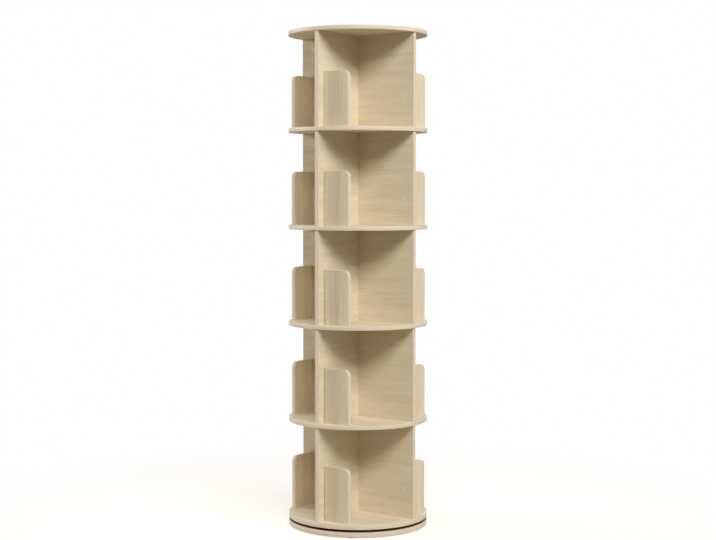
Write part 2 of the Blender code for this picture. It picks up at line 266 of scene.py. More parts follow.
def speckled(name, low, high, per_metre, roughness, relief, metallic=0.0, ior=1.5):
    """A material that varies between two colours in specks of a known size, with a matching relief."""
    material, tree, shader = new_material(name, roughness, metallic, ior)
    place = add_node(tree, "ShaderNodeTexCoord", {}, {})
    specks = add_node(tree, "ShaderNodeTexNoise", {},
                      {"Vector": place.outputs["Object"], "Scale": per_metre, "Detail": SPECK_DETAIL})
    spread = add_node(tree, "ShaderNodeMapRange", {},
                      {"Value": specks.outputs[0], FROM_LOW: SPECK_RANGE[0], FROM_HIGH: SPECK_RANGE[1]})
    colour = add_node(tree, "ShaderNodeMix", {"data_type": "RGBA"},
                      {SHARE: spread.outputs[0], COLOUR_A: linear(low), COLOUR_B: linear(high)})
    tree.links.new(colour.outputs[MIXED], shader.inputs["Base Color"])
    rough = add_node(tree, "ShaderNodeMath", {"operation": "MULTIPLY_ADD"},
                     {FIRST: spread.outputs[0], SECOND: UNEVENNESS, THIRD: roughness - UNEVENNESS / 2})
    tree.links.new(rough.outputs[0], shader.inputs["Roughness"])
    bump = add_node(tree, "ShaderNodeBump", {},
                    {"Strength": SPECK_STRENGTH, "Distance": relief, "Height": spread.outputs[0]})
    tree.links.new(bump.outputs[0], shader.inputs["Normal"])
    return material


# Hot-melt glue: a thin matt line that collects a little dirt.
glue_line = speckled("hot_melt_glue_line", "9C8762", "AD9871", 400.0, 0.6, 0.00002)
# Moulded polypropylene: smooth and faintly waxy, with the mould's fine spark-eroded skin of about 1 mm.
cap_plastic = speckled("maple_polypropylene_cap", "D9CBAE", "DED1B6", 900.0, 0.38, 0.00002, ior=1.49)
# Moulded rubber: nearly black and matt, dusted with talc.
pad_rubber = speckled("moulded_rubber_pad", "2E2C2A", "45423F", 700.0, 0.82, 0.00008, ior=1.52)
# Zinc plate: blue-white steel with a faint cloudiness from the bath, in patches of about 5 mm.
zinc_steel = speckled("zinc_plated_steel", "A9ACB0", "C6C8CA", 200.0, 0.36, 0.00002, metallic=1.0)
# Bearing steel: ground and polished, so it is bright and nearly even.
ball_steel = speckled("polished_ball_steel", "C3C4C6", "D0D1D3", 500.0, 0.14, 0.00001, metallic=1.0)
# Painted shade: the two faces that look into the bearing gap get a plain, matt dark brown with fine specks,
# for the shade in the gap.
gap_shade_paint = speckled("brown_backing_paper", "6E5238", "7A5D41", 600.0, 0.78, 0.00002)
# Raw particle board, in pressed chips of 1 to 3 mm: inside drilled holes, and on the cut edges of uprights
# that stand against a board, where nobody sees them.
raw_board = speckled("raw_particle_board", "A98A5E", "C9AE84", 450.0, 0.9, 0.0003)
print(len(bpy.data.materials), "materials with those of the frame")

# %% [markdown]
# ## Helpers for modelling
#
# Each piece starts as a primitive at its real size and place, and is then shaped in edit mode, as by hand.
# An operator acts on whatever is selected, so everything is deselected before a primitive is added, and
# faces and edges are picked by a rule on where they are or which way they face.

# %% Start, pick and measure
# A normal's part along an axis, from 0 to 1: above ALONG the face looks that way, above FLAT it isn't even
# slightly rounded, and below ASIDE it looks elsewhere.
ALONG = 0.9
FLAT = 0.99
ASIDE = 0.1
# An upright edge climbs more than this.
UPRIGHT = 0.1
# Points closer than this are in one place.
TOUCH = 1e-5


def start(name, add, **settings):
    """Add a primitive alone in the selection, and move its place into its mesh."""
    bpy.ops.object.select_all(action="DESELECT")
    add(**settings)
    piece = bpy.context.object
    piece.name = name
    bpy.ops.object.transform_apply(location=True, rotation=True, scale=True)
    return piece


def pick(piece, kind, rule):
    """In edit mode, select the faces or edges that a rule accepts, and nothing else."""
    bpy.ops.mesh.select_mode(type=kind)
    bpy.ops.mesh.select_all(action="DESELECT")
    mesh = bmesh.from_edit_mesh(piece.data)
    mesh.normal_update()
    for item in mesh.faces if kind == "FACE" else mesh.edges:
        item.select_set(rule(item))
    mesh.select_flush_mode()
    bmesh.update_edit_mesh(piece.data)


def middle(item):
    """The middle of a face or an edge."""
    return sum((vertex.co for vertex in item.verts), Vector()) / len(item.verts)


def climb(edge):
    """How far an edge climbs."""
    return abs(edge.verts[0].co.z - edge.verts[1].co.z)


print("an edge is upright if it climbs more than", UPRIGHT, "m")

# %% Pull, smooth, cut, copy and dress
SMOOTH_ANGLE = math.radians(32)


def pull(height):
    """In edit mode, extrude the selected faces straight up, or down if the height is negative."""
    bpy.ops.mesh.extrude_region_move(TRANSFORM_OT_translate={"value": (0.0, 0.0, height)})


def smooth(piece):
    """Shade the rounded edges smooth and keep the flat faces flat."""
    bpy.ops.object.select_all(action="DESELECT")
    piece.select_set(True)
    bpy.context.view_layer.objects.active = piece
    bpy.ops.object.shade_smooth_by_angle(angle=SMOOTH_ANGLE)


def cut(piece, *cutters):
    """Take cutters out of a piece, exactly, and remove them."""
    for cutter in cutters:
        boolean = piece.modifiers.new("cut", "BOOLEAN")
        boolean.operation = "DIFFERENCE"
        boolean.solver = "EXACT"
        boolean.object = cutter
        bpy.context.view_layer.objects.active = piece
        bpy.ops.object.modifier_apply(modifier=boolean.name)
        bpy.data.objects.remove(cutter, do_unlink=True)


def copy_of(piece, name, place):
    """A copy with its own mesh, moved by a matrix."""
    twin = piece.copy()
    twin.data = piece.data.copy()
    twin.name = name
    bpy.context.scene.collection.objects.link(twin)
    twin.data.transform(place)
    return twin


def dress(piece, body, slot, *nodes):
    """Hand a finished piece to the frame: what it moves with and the solids it stands for. The slot is not
    used.
    """
    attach(piece, body)
    if nodes:
        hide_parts(*nodes)


print("ready to model")

# %% [markdown]
# ## Laying the foil
#
# A foil has one direction, and a band another. This step gives each corner of a mesh its place on the foil,
# in metres along and across the grain. Every piece is cut from a different part of the print, so each lay
# starts somewhere else. Faces that take the band get the second material, and a thin ring beside it the
# glue line's.

# %% Foil, band and glue line
# A piece's finishes, in the order of its materials. Only two boards have the last one, the painted shade of
# the bearing gap.
FACE, EDGE, GLUE, RAW, GAP_SHADE = range(5)
PRINT_STEP = (0.731, 0.417)
PRINT_SIZE = (5.0, 3.0)
lays = 0


def next_cut():
    """Where on the print the next piece is cut, stepping on along it and across it."""
    global lays
    lays += 1
    return Vector([step * lays % size for step, size in zip(PRINT_STEP, PRINT_SIZE)])


def lay_foil(piece, kind_of, place_on):
    """Give each face one of the first four finishes, and each corner its place on the foil."""
    begin = next_cut()
    for material in (face_foil, edge_band, glue_line, raw_board):
        piece.data.materials.append(material)
    while piece.data.uv_layers:
        piece.data.uv_layers.remove(piece.data.uv_layers[0])
    grain = piece.data.uv_layers.new(name="grain")
    for polygon in piece.data.polygons:
        polygon.material_index = kind_of(polygon)
        for loop in polygon.loop_indices:
            corner = piece.data.vertices[piece.data.loops[loop].vertex_index].co
            grain.data[loop].uv = begin + Vector(place_on(polygon, corner))


def slide_foil(piece):
    """Cut a copied piece from another part of the print."""
    begin = next_cut()
    for corner in piece.data.uv_layers["grain"].data:
        corner.uv = corner.uv + begin


print("a print of", PRINT_SIZE[0], "by", PRINT_SIZE[1], "m is ready to be cut")

# %% [markdown]
# ## Round boards
#
# Base, shelves and top are discs of particle board, routed round and edge-banded. A disc could be turned
# from a profile, but a cylinder is quicker: both ends are inset by the band's thickness and by the glue
# line, which draws the joint that one sees on a real banded board, and then the rim's edges are bevelled,
# as a trimmer eases them.

# %% Round boards
BOARD_SIDES = 224


def round_board(name, node):
    """A banded disc in the place of a solid."""
    low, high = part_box(node)
    board = start(name, bpy.ops.mesh.primitive_cylinder_add, vertices=BOARD_SIDES, radius=RADIUS,
                  depth=high.z - low.z, location=(0.0, 0.0, (low.z + high.z) / 2))
    bpy.ops.object.mode_set(mode="EDIT")
    pick(board, "FACE", lambda face: abs(face.normal.z) > ALONG)
    bpy.ops.mesh.inset(thickness=BAND)
    bpy.ops.mesh.inset(thickness=GLUE_LINE)
    pick(board, "EDGE", lambda edge: middle(edge).xy.length > RADIUS - BAND / 2 and climb(edge) < EASE)
    bpy.ops.mesh.bevel(offset=EASE, segments=EASE_STEPS)
    bpy.ops.object.mode_set(mode="OBJECT")
    return board


def board_finish(polygon):
    """Which finish a face of a round board has, by how far out it lies."""
    out = polygon.center.xy.length
    if abs(polygon.normal.z) < FLAT or out > RADIUS - BAND:
        return EDGE if out > RADIUS - 2 * BAND else RAW
    return GLUE if out > RADIUS - BAND - GLUE_LINE else FACE


def board_foil(polygon, corner):
    """Grain along X on the faces, and round the rim on the band. The band's joint is at -X."""
    if board_finish(polygon) == EDGE:
        return math.atan2(corner.y, corner.x) * RADIUS, corner.z
    return corner.x, corner.y


print("round boards of", round(RADIUS * 1000), "mm radius can be made")

# %% [markdown]
# ## Drilling
#
# Two boards are drilled for the bearing's screws. Each hole is a cutter, shaped like the drill, taken out
# with an exact Boolean before the foil is laid, so that the raw board shows inside the hole.

# %% Screw places and drills
RING_SCREWS = 4
DRILL_SIDES = 40
BASE_HOLE = 0.0023
SHELF_HOLE = 0.002
SHELF_HOLE_DEPTH = 0.0125
COUNTERSINK = 0.0044
# A drill runs this far past a face that it goes through, and a countersink starts this far below its mouth.
OVERRUN = 0.001
SINK_OVERRUN = 0.0005
# A countersink is taller by this than the step from its mouth to its hole is wide.
SINK_EXTRA = 0.0015


def screw_places(node):
    """Where a ring's screws stand, read from their solids."""
    places = []
    for index in range(1, RING_SCREWS + 1):
        low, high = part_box(f"{node}_{index}")
        places.append(Vector(((low.x + high.x) / 2, (low.y + high.y) / 2, low.z)))
    return places


def drill(radius, low, high, place, mouth=0.0):
    """A drill that cuts between two heights. A mouth countersinks its lower end to that radius."""
    bit = start("drill", bpy.ops.mesh.primitive_cylinder_add, vertices=DRILL_SIDES, radius=radius,
                depth=high - low, location=(place.x, place.y, (low + high) / 2))
    if not mouth:
        return [bit]
    depth = mouth - radius + SINK_EXTRA
    sink = start("sink", bpy.ops.mesh.primitive_cone_add, vertices=DRILL_SIDES,
                 radius1=mouth + SINK_OVERRUN, radius2=radius, depth=depth,
                 location=(place.x, place.y, place.z - SINK_OVERRUN + depth / 2))
    return [bit, sink]


print("base screws at", [tuple(round(value, 3) for value in place) for place in screw_places("base_screw")])

# %% [markdown]
# Nobody sees the base's upper face and the lowest shelf's underside, so instead of the foil they get a dark
# brown. It is painted shade, which makes the gap between them dark and brown, as it looks on the real
# bookcase.

# %% Base, shelves and top
# The boards with the painted gap shade, and whether it is on the upper (1) or the lower (-1) side.
GAP_SHADE_SIDE = {"base_board": 1, "shelf_1": -1}
# Each board's piece name, its body and its slot.
boards = {
    "base_board": ("round_base", "base", "base_board"),
    "top_board": ("round_top", "carousel", "top_board"),
}
for tier in TIERS:
    boards[f"shelf_{tier}"] = (f"round_shelf_{tier}", "carousel", "shelf")
for node, (name, body, slot) in boards.items():
    board = round_board(name, node)
    low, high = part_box(node)
    if node == "base_board":
        for place in screw_places("base_screw"):
            cut(board, *drill(BASE_HOLE, low.z - OVERRUN, high.z + OVERRUN, place, mouth=COUNTERSINK))
    if node == "shelf_1":
        for place in screw_places("shelf_screw"):
            cut(board, *drill(SHELF_HOLE, low.z - OVERRUN, low.z + SHELF_HOLE_DEPTH, place))
    lay_foil(board, board_finish, board_foil)
    # Painted shade: the faces that look into the bearing gap get a dark brown in place of the foil.
    if node in GAP_SHADE_SIDE:
        board.data.materials.append(gap_shade_paint)
        for polygon in board.data.polygons:
            if polygon.material_index == FACE and polygon.normal.z * GAP_SHADE_SIDE[node] > FLAT:
                polygon.material_index = GAP_SHADE
    smooth(board)
    dress(board, body, slot, node)
    print(name, len(board.data.polygons), "faces")

# %% [markdown]
# ## Wing panels
#
# Every tier has one long panel across the whole disc and two short ones that butt against its faces. Their
# outer ends are banded, and the grain runs level. A cube at the panel's size is cut twice near each banded
# end, for the band's joint and its glue line, and the end's upright edges are rounded.


# %% Wing panels
def wing_panel(name, node, axis, ends):
    """An upright panel along an axis (0 for X, 1 for Y), banded at the ends given as -1 and 1."""
    low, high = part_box(node)
    panel = start(name, bpy.ops.mesh.primitive_cube_add, size=1.0,
                  location=(low + high) / 2, scale=high - low)
    reach = {-1: low[axis], 1: high[axis]}
    along = Vector((0.0, 0.0, 0.0))
    along[axis] = 1.0
    bpy.ops.object.mode_set(mode="EDIT")
    for end in ends:
        for inward in (BAND, BAND + GLUE_LINE):
            bpy.ops.mesh.select_all(action="SELECT")
            bpy.ops.mesh.bisect(plane_co=along * (reach[end] - end * inward), plane_no=along)
    pick(panel, "EDGE", lambda edge: climb(edge) > UPRIGHT
         and any(abs(middle(edge)[axis] - reach[end]) < TOUCH for end in ends))
    bpy.ops.mesh.bevel(offset=EASE, segments=EASE_STEPS)
    bpy.ops.object.mode_set(mode="OBJECT")

    def finish_of(polygon):
        inward = min(abs(polygon.center[axis] - reach[end]) for end in ends)
        if abs(polygon.normal.z) > ALONG:
            return RAW
        return EDGE if inward < BAND else GLUE if inward < BAND + GLUE_LINE else FACE

    def place_on(polygon, corner):
        if finish_of(polygon) == EDGE:
            return corner.z, corner[1 - axis]
        return corner[axis], corner.z if abs(polygon.normal.z) < ALONG else corner[1 - axis]

    lay_foil(panel, finish_of, place_on)
    smooth(panel)
    dress(panel, "carousel", "long_panel" if len(ends) == 2 else "half_panel", node)


for tier in TIERS:
    wing_panel(f"long_wing_{tier}", f"long_panel_{tier}", 0, (-1, 1))
    wing_panel(f"short_wing_front_{tier}", f"half_panel_front_{tier}", 1, (-1,))
    wing_panel(f"short_wing_back_{tier}", f"half_panel_back_{tier}", 1, (1,))

# %% [markdown]
# ## Book stops
#
# A stop is a short upright board that keeps what stands on the shelf from sliding out. It stands at a right
# angle to its wing, and all of them point the same way round. One is modelled: the cube's upper outer edge
# gets a wide bevel, which is the rounded corner, and its inner end is rounded over, which draws the dark
# line where the stop meets the wing. Then both faces are inset for the band's joint, and the banded edges
# are eased. All twenty are copies of it, turned about the axis and lifted. Here the grain runs upright.

# %% One book stop
CORNER = 0.020
CORNER_STEPS = 20
INNER_ROUND = 0.0036
INNER_STEPS = 6
# The underside's normal points farther down than this. The rounded corner's never does.
UNDERSIDE = -0.5
stop_low, stop_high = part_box("stop_front_1")
outer_corner = Vector((stop_high.x, STOP_MIDDLE, stop_high.z))
stop = start("book_stop", bpy.ops.mesh.primitive_cube_add, size=1.0,
             location=(stop_low + stop_high) / 2, scale=stop_high - stop_low)
bpy.ops.object.mode_set(mode="EDIT")
pick(stop, "EDGE", lambda edge: (middle(edge) - outer_corner).length < TOUCH)
bpy.ops.mesh.bevel(offset=CORNER, segments=CORNER_STEPS)
pick(stop, "EDGE", lambda edge: max(vertex.co.x for vertex in edge.verts) < stop_low.x + TOUCH
     and climb(edge) > UPRIGHT)
bpy.ops.mesh.bevel(offset=INNER_ROUND, segments=INNER_STEPS)
pick(stop, "FACE", lambda face: abs(face.normal.y) > ALONG)
bpy.ops.mesh.inset(thickness=BAND)
bpy.ops.mesh.inset(thickness=GLUE_LINE)


def is_banded(face):
    """Whether a face belongs to the top, the rounded corner or an end."""
    return abs(face.normal.y) < ASIDE and face.normal.z > UNDERSIDE


pick(stop, "EDGE", lambda edge: sum(is_banded(face) for face in edge.link_faces) == 1
     and (any(face.normal.z > ALONG for face in edge.link_faces)
          or all(is_banded(face) or abs(face.normal.y) > ALONG for face in edge.link_faces)))
bpy.ops.mesh.bevel(offset=EASE, segments=EASE_STEPS)
bpy.ops.object.mode_set(mode="OBJECT")
print("the stop has", len(stop.data.polygons), "faces")


# %% Foil on the stop
def rim_distance(x, z):
    """How far a point of the stop's face lies from its banded outline."""
    over = Vector((max(x - stop_high.x + CORNER, 0.0), max(z - stop_high.z + CORNER, 0.0)))
    if over.x > 0 and over.y > 0:
        return CORNER - over.length
    return min(stop_high.x - x, stop_high.z - z, x - stop_low.x)


def stop_finish(polygon):
    """The finish of one of the stop's faces."""
    if abs(polygon.normal.y) < FLAT:
        return RAW if polygon.normal.z < -ALONG else EDGE
    inward = rim_distance(polygon.center.x, polygon.center.z)
    return EDGE if inward < BAND else GLUE if inward < BAND + GLUE_LINE else FACE


def stop_foil(polygon, corner):
    """Upright grain on the faces. On the band the grain follows the band."""
    if stop_finish(polygon) != EDGE:
        return corner.z, corner.x
    along = corner.z if corner.z < stop_high.z - CORNER else stop_high.z + stop_high.x - corner.x
    return along, corner.y


lay_foil(stop, stop_finish, stop_foil)
smooth(stop)
banded = sum(polygon.material_index == EDGE for polygon in stop.data.polygons)
print(banded, "of its faces belong to the band")

# %% Twenty book stops
for tier in TIERS:
    for turn, wing in enumerate(WINGS):
        lift = Matrix.Translation((0.0, 0.0, FLOORS[tier - 1] - FLOORS[0]))
        twin = copy_of(stop, f"book_stop_{wing}_{tier}", lift @ Matrix.Rotation(turn * QUARTER, 4, "Z"))
        slide_foil(twin)
        dress(twin, "carousel", "stop", f"stop_{wing}_{tier}")
bpy.data.objects.remove(stop, do_unlink=True)
print("twenty stops stand on their shelves")

# %% [markdown]
# ## Cover caps
#
# Flat-pack joints are hidden under press-in caps. A large one covers each cam lock, just under the ceiling,
# and a small one the screw that goes through the wing into the end of the stop. A cap is a thin disc with a
# rounded edge and a shallow dish, so it starts as a cylinder, gets a bevel, and its face is inset and
# pushed in by a hair.

# %% Cover caps
CAP_SIDES = 56
# How far a cap sinks into the board.
CAP_SEAT = 0.0003
# An edge farther out than this share of the radius, and of the depth, belongs to the cap's outer rim.
OUTERMOST = 0.9
# The rim's rounding and the dish's depth are shares of the cap's depth, the rim's width one of its radius.
CAP_ROUND = 0.45
CAP_STEPS = 4
CAP_RIM = 0.22
DISH_DEPTH = 0.12
DISH_SLOPE = 0.0004


def cover_cap(name, radius, depth, side, y, z):
    """A cap on the front wing, on its +X face (side 1) or its -X face (side -1)."""
    wall = side * HALF_PANEL
    cap = start(name, bpy.ops.mesh.primitive_cylinder_add, vertices=CAP_SIDES, radius=radius,
                depth=depth + CAP_SEAT, location=(wall + side * (depth - CAP_SEAT) / 2, y, z),
                rotation=(0.0, QUARTER, 0.0))
    bpy.ops.object.mode_set(mode="EDIT")
    pick(cap, "EDGE", lambda edge: side * (middle(edge).x - wall) > depth * OUTERMOST
         and (Vector(middle(edge).yz) - Vector((y, z))).length > radius * OUTERMOST)
    bpy.ops.mesh.bevel(offset=depth * CAP_ROUND, segments=CAP_STEPS)
    pick(cap, "FACE", lambda face: side * face.normal.x > FLAT)
    bpy.ops.mesh.inset(thickness=radius * CAP_RIM)
    bpy.ops.mesh.inset(thickness=DISH_SLOPE, depth=-depth * DISH_DEPTH)
    bpy.ops.object.mode_set(mode="OBJECT")
    cap.data.materials.append(cap_plastic)
    smooth(cap)
    return cap


print("a cap sinks in by", CAP_SEAT * 1000, "mm")

# %% Forty caps
CAM_CAP_RADIUS = 0.009
CAM_CAP_DEPTH = 0.0011
CAM_Y = -0.178
CAM_BELOW_CEILING = 0.034
SCREW_CAP_RADIUS = 0.006
SCREW_CAP_DEPTH = 0.0009
SCREW_ABOVE_FLOOR = 0.0865

cam_cap = cover_cap("cam_cap", CAM_CAP_RADIUS, CAM_CAP_DEPTH, 1, CAM_Y, CEILINGS[0] - CAM_BELOW_CEILING)
screw_cap = cover_cap("screw_cap", SCREW_CAP_RADIUS, SCREW_CAP_DEPTH, -1, STOP_MIDDLE,
                      FLOORS[0] + SCREW_ABOVE_FLOOR)
for tier in TIERS:
    for turn, wing in enumerate(WINGS):
        spin = Matrix.Rotation(turn * QUARTER, 4, "Z")
        for cap, heights in ((cam_cap, CEILINGS), (screw_cap, FLOORS)):
            lift = Matrix.Translation((0.0, 0.0, heights[tier - 1] - heights[0]))
            dress(copy_of(cap, f"{cap.name}_{wing}_{tier}", lift @ spin), "carousel", "cover_cap")
for cap in (cam_cap, screw_cap):
    bpy.data.objects.remove(cap, do_unlink=True)
print("forty caps pressed in")

# %% [markdown]
# ## Pads under the base
#
# Six rubber pads keep the base from sliding and lift it off the floor. A pad is a moulded disc with a
# rounded lower edge and a ring-shaped recess that grips the floor.

# %% Pads
PADS = 6
PAD_SIDES = 72
PAD_ROUND = 0.0006
PAD_STEPS = 3
PAD_RIM = 0.003
GROOVE_WIDTH = 0.004
GROOVE_DEPTH = 0.0007
GROOVE_SLOPE = 0.0006

low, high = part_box("foot_pad_1")
centre = Vector(((low.x + high.x) / 2, 0.0, (low.z + high.z) / 2))
pad = start("pad", bpy.ops.mesh.primitive_cylinder_add, vertices=PAD_SIDES, radius=(high.x - low.x) / 2,
            depth=high.z - low.z, location=centre)
bpy.ops.object.mode_set(mode="EDIT")
pick(pad, "EDGE", lambda edge: middle(edge).z < low.z + TOUCH)
bpy.ops.mesh.bevel(offset=PAD_ROUND, segments=PAD_STEPS)
pick(pad, "FACE", lambda face: face.normal.z < -FLAT)
bpy.ops.mesh.inset(thickness=PAD_RIM)
bpy.ops.mesh.inset(thickness=GROOVE_SLOPE, depth=-GROOVE_DEPTH)
bpy.ops.mesh.inset(thickness=GROOVE_WIDTH)
bpy.ops.mesh.inset(thickness=GROOVE_SLOPE, depth=GROOVE_DEPTH)
bpy.ops.object.mode_set(mode="OBJECT")
pad.data.materials.append(pad_rubber)
smooth(pad)
for index in range(PADS):
    twin = copy_of(pad, f"rubber_pad_{index + 1}", Matrix.Rotation(index * math.tau / PADS, 4, "Z"))
    dress(twin, "base", "foot_pad", f"foot_pad_{index + 1}")
bpy.data.objects.remove(pad, do_unlink=True)
print("six pads on a circle of", round(centre.x * 1000), "mm radius")

# %% [markdown]
# ## Ring bearing
#
# In the thin dark gap a ring bearing carries the whole carousel: a flat pressed ring on the base, another
# under the lowest shelf, and caged balls between them. A washer is a cylinder whose ends are inset and
# opened, with the two openings bridged. A lip is then extruded from the ring of faces beside the hole or
# the rim.

# %% Washers and lips
RING_SIDES = 144
STEEL_STEPS = 2
STEEL_ANGLE = math.radians(40)


def washer(name, outer, inner, low, high, marks=()):
    """A flat ring between two heights, with its flat sides divided at some radii between the two."""
    ring = start(name, bpy.ops.mesh.primitive_cylinder_add, vertices=RING_SIDES, radius=outer,
                 depth=high - low, location=(0.0, 0.0, (low + high) / 2))
    bpy.ops.object.mode_set(mode="EDIT")
    pick(ring, "FACE", lambda face: abs(face.normal.z) > ALONG)
    radii = [outer, *marks, inner]
    # An inset moves the sides in, and a side's middle lies a little nearer to the axis than its ends.
    for wide, narrow in zip(radii, radii[1:]):
        bpy.ops.mesh.inset(thickness=(wide - narrow) * math.cos(math.pi / RING_SIDES))
    bpy.ops.mesh.delete(type="FACE")
    pick(ring, "EDGE", lambda edge: edge.is_boundary)
    bpy.ops.mesh.bridge_edge_loops()
    bpy.ops.object.mode_set(mode="OBJECT")
    return ring


def press_lip(ring, way, nearest, farthest, height):
    """Extrude the faces between two radii, up (way 1) or down (way -1)."""
    bpy.ops.object.mode_set(mode="EDIT")
    pick(ring, "FACE", lambda face: face.normal.z * way > ALONG
         and nearest < middle(face).xy.length < farthest)
    pull(way * height)
    bpy.ops.object.mode_set(mode="OBJECT")


def ease_steel(piece, width):
    """Round the sharp edges of a steel piece with a bevel modifier, and apply it."""
    bevel = piece.modifiers.new("ease", "BEVEL")
    bevel.width = width
    bevel.segments = STEEL_STEPS
    bevel.limit_method = "ANGLE"
    bevel.angle_limit = STEEL_ANGLE
    bpy.context.view_layer.objects.active = piece
    bpy.ops.object.modifier_apply(modifier=bevel.name)


print("rings have", RING_SIDES, "sides")

# %% Pressed rings
RACE = 0.1333
LIP_OUT = 0.0058
PLATE = 0.0012
UPPER_FLANGE = 0.010
STEEL_EASE = 0.0002

low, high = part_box("bearing_lower_ring")
inner, outer = RACE - LIP_OUT, high.x
lower = washer("pressed_lower_ring", outer, inner, low.z, low.z + PLATE, (inner + PLATE,))
press_lip(lower, 1, inner - PLATE, inner + PLATE, high.z - low.z - PLATE)
for place in screw_places("base_screw"):
    cut(lower, *drill(BASE_HOLE, low.z - OVERRUN, high.z, place))
low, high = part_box("bearing_upper_ring")
inner, outer = RACE - LIP_OUT - UPPER_FLANGE, high.x
upper = washer("pressed_upper_ring", outer, inner, high.z - PLATE, high.z, (outer - PLATE,))
press_lip(upper, -1, outer - PLATE, outer + PLATE, high.z - low.z - PLATE)
for place in screw_places("shelf_screw"):
    cut(upper, *drill(SHELF_HOLE, low.z, high.z + OVERRUN, place))
for ring, body, node in ((lower, "base", "bearing_lower_ring"), (upper, "carousel", "bearing_upper_ring")):
    ease_steel(ring, STEEL_EASE)
    ring.data.materials.append(zinc_steel)
    smooth(ring)
    dress(ring, body, "ring_steel", node)
    print(ring.name, len(ring.data.polygons), "faces")

# %% [markdown]
# ## Balls and their cage
#
# The cage is a thin washer that spaces twelve balls. It turns at half the carousel's speed, as a ball race
# does.

# %% Balls and cage
BALLS = 12
BALL_SIDES = 32
BALL_RINGS = 16
CAGE_HALF_WIDTH = 0.0033
CAGE_PLATE = 0.0008

low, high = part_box("ball_cage")
height = (low.z + high.z) / 2
cage = washer("ball_spacer", RACE + CAGE_HALF_WIDTH, RACE - CAGE_HALF_WIDTH,
              height - CAGE_PLATE / 2, height + CAGE_PLATE / 2)
cage.data.materials.append(ball_steel)
smooth(cage)
ball = start("ball", bpy.ops.mesh.primitive_uv_sphere_add, segments=BALL_SIDES, ring_count=BALL_RINGS,
             radius=(high.z - low.z) / 2, location=(RACE, 0.0, height))
ball.data.materials.append(ball_steel)
smooth(ball)
balls = []
for index in range(BALLS):
    balls.append(copy_of(ball, f"ball_{index + 1}", Matrix.Rotation(index * math.tau / BALLS, 4, "Z")))
bpy.data.objects.remove(ball, do_unlink=True)
bpy.ops.object.select_all(action="DESELECT")
for ball in balls:
    ball.select_set(True)
bpy.context.view_layer.objects.active = balls[0]
bpy.ops.object.join()
balls[0].name = "bearing_balls"
dress(cage, "ball_race", "ball_steel", "ball_cage")
dress(balls[0], "ball_race", "ball_steel")
print("twelve balls of", round((high.z - low.z) * 1000, 1), "mm")

# %% [markdown]
# ## Screws
#
# Four countersunk screws come up through the base into the lower ring, and four pan-head screws hold the
# upper ring under the shelf. Both heads have a cross recess. A screw is a cylinder or a cone whose end is
# extruded and narrowed, and the recess is two crossed blades taken out of it. One of each is modelled, and
# all that are used are copies, turned about the axis.

# %% Countersunk screw
SCREW_SIDES = 48
# A recess blade's thickness, as a share of its width.
BLADE = 0.24
SUNK_HEAD = 0.004
SUNK_SHANK = 0.002
SUNK_TAPER = 0.003
SUNK_END = 0.0004
SUNK_END_SHARE = 0.8
SUNK_RECESS_WIDTH = 0.0042
SUNK_RECESS_DEPTH = 0.0012


def cross_recess(screw, width, depth, place):
    """Cut a cross into a head that faces down."""
    for turn in range(2):
        blade = start("blade", bpy.ops.mesh.primitive_cube_add, size=1.0, location=place,
                      scale=(width, width * BLADE, depth * 2), rotation=(0.0, 0.0, turn * QUARTER))
        cut(screw, blade)


low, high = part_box("base_screw_1")
spot = screw_places("base_screw")[0]
sunk = start("countersunk_screw", bpy.ops.mesh.primitive_cone_add, vertices=SCREW_SIDES,
             radius1=SUNK_HEAD, radius2=SUNK_SHANK, depth=SUNK_TAPER,
             location=(spot.x, spot.y, low.z + SUNK_TAPER / 2))
bpy.ops.object.mode_set(mode="EDIT")
pick(sunk, "FACE", lambda face: face.normal.z > ALONG)
pull(high.z - low.z - SUNK_TAPER - SUNK_END)
pull(SUNK_END)
bpy.ops.transform.resize(value=(SUNK_END_SHARE, SUNK_END_SHARE, 1.0),
                         center_override=(spot.x, spot.y, high.z))
bpy.ops.object.mode_set(mode="OBJECT")
cross_recess(sunk, SUNK_RECESS_WIDTH, SUNK_RECESS_DEPTH, (spot.x, spot.y, low.z))
print("the countersunk screw is", round((high.z - low.z) * 1000, 1), "mm long")

# %% Pan-head screw
PAN_RADIUS = 0.003
PAN_HEIGHT = 0.0014
PAN_ROUND = 0.0007
PAN_STEPS = 5
PAN_SHOULDER = 0.0013
POINT = 0.002
POINT_SHARE = 0.25
PAN_RECESS_WIDTH = 0.0034
PAN_RECESS_DEPTH = 0.0008

low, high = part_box("shelf_screw_1")
spot = screw_places("shelf_screw")[0]
pan = start("pan_head_screw", bpy.ops.mesh.primitive_cylinder_add, vertices=SCREW_SIDES,
            radius=PAN_RADIUS, depth=PAN_HEIGHT, location=(spot.x, spot.y, low.z + PAN_HEIGHT / 2))
bpy.ops.object.mode_set(mode="EDIT")
pick(pan, "EDGE", lambda edge: middle(edge).z < low.z + TOUCH)
bpy.ops.mesh.bevel(offset=PAN_ROUND, segments=PAN_STEPS)
pick(pan, "FACE", lambda face: face.normal.z > ALONG)
bpy.ops.mesh.inset(thickness=PAN_SHOULDER)
pull(high.z - low.z - PAN_HEIGHT - POINT)
pull(POINT)
bpy.ops.transform.resize(value=(POINT_SHARE, POINT_SHARE, 1.0),
                         center_override=(spot.x, spot.y, high.z))
bpy.ops.object.mode_set(mode="OBJECT")
cross_recess(pan, PAN_RECESS_WIDTH, PAN_RECESS_DEPTH, (spot.x, spot.y, low.z))
print("the pan-head screw is", round((high.z - low.z) * 1000, 1), "mm long")

# %% Eight screws
for screw, body, node in ((sunk, "base", "base_screw"), (pan, "carousel", "shelf_screw")):
    screw.data.materials.append(zinc_steel)
    smooth(screw)
    for index in range(RING_SCREWS):
        twin = copy_of(screw, f"{screw.name}_{index + 1}", Matrix.Rotation(index * QUARTER, 4, "Z"))
        dress(twin, body, "screw_steel", f"{node}_{index + 1}")
    bpy.data.objects.remove(screw, do_unlink=True)
print("eight screws driven")

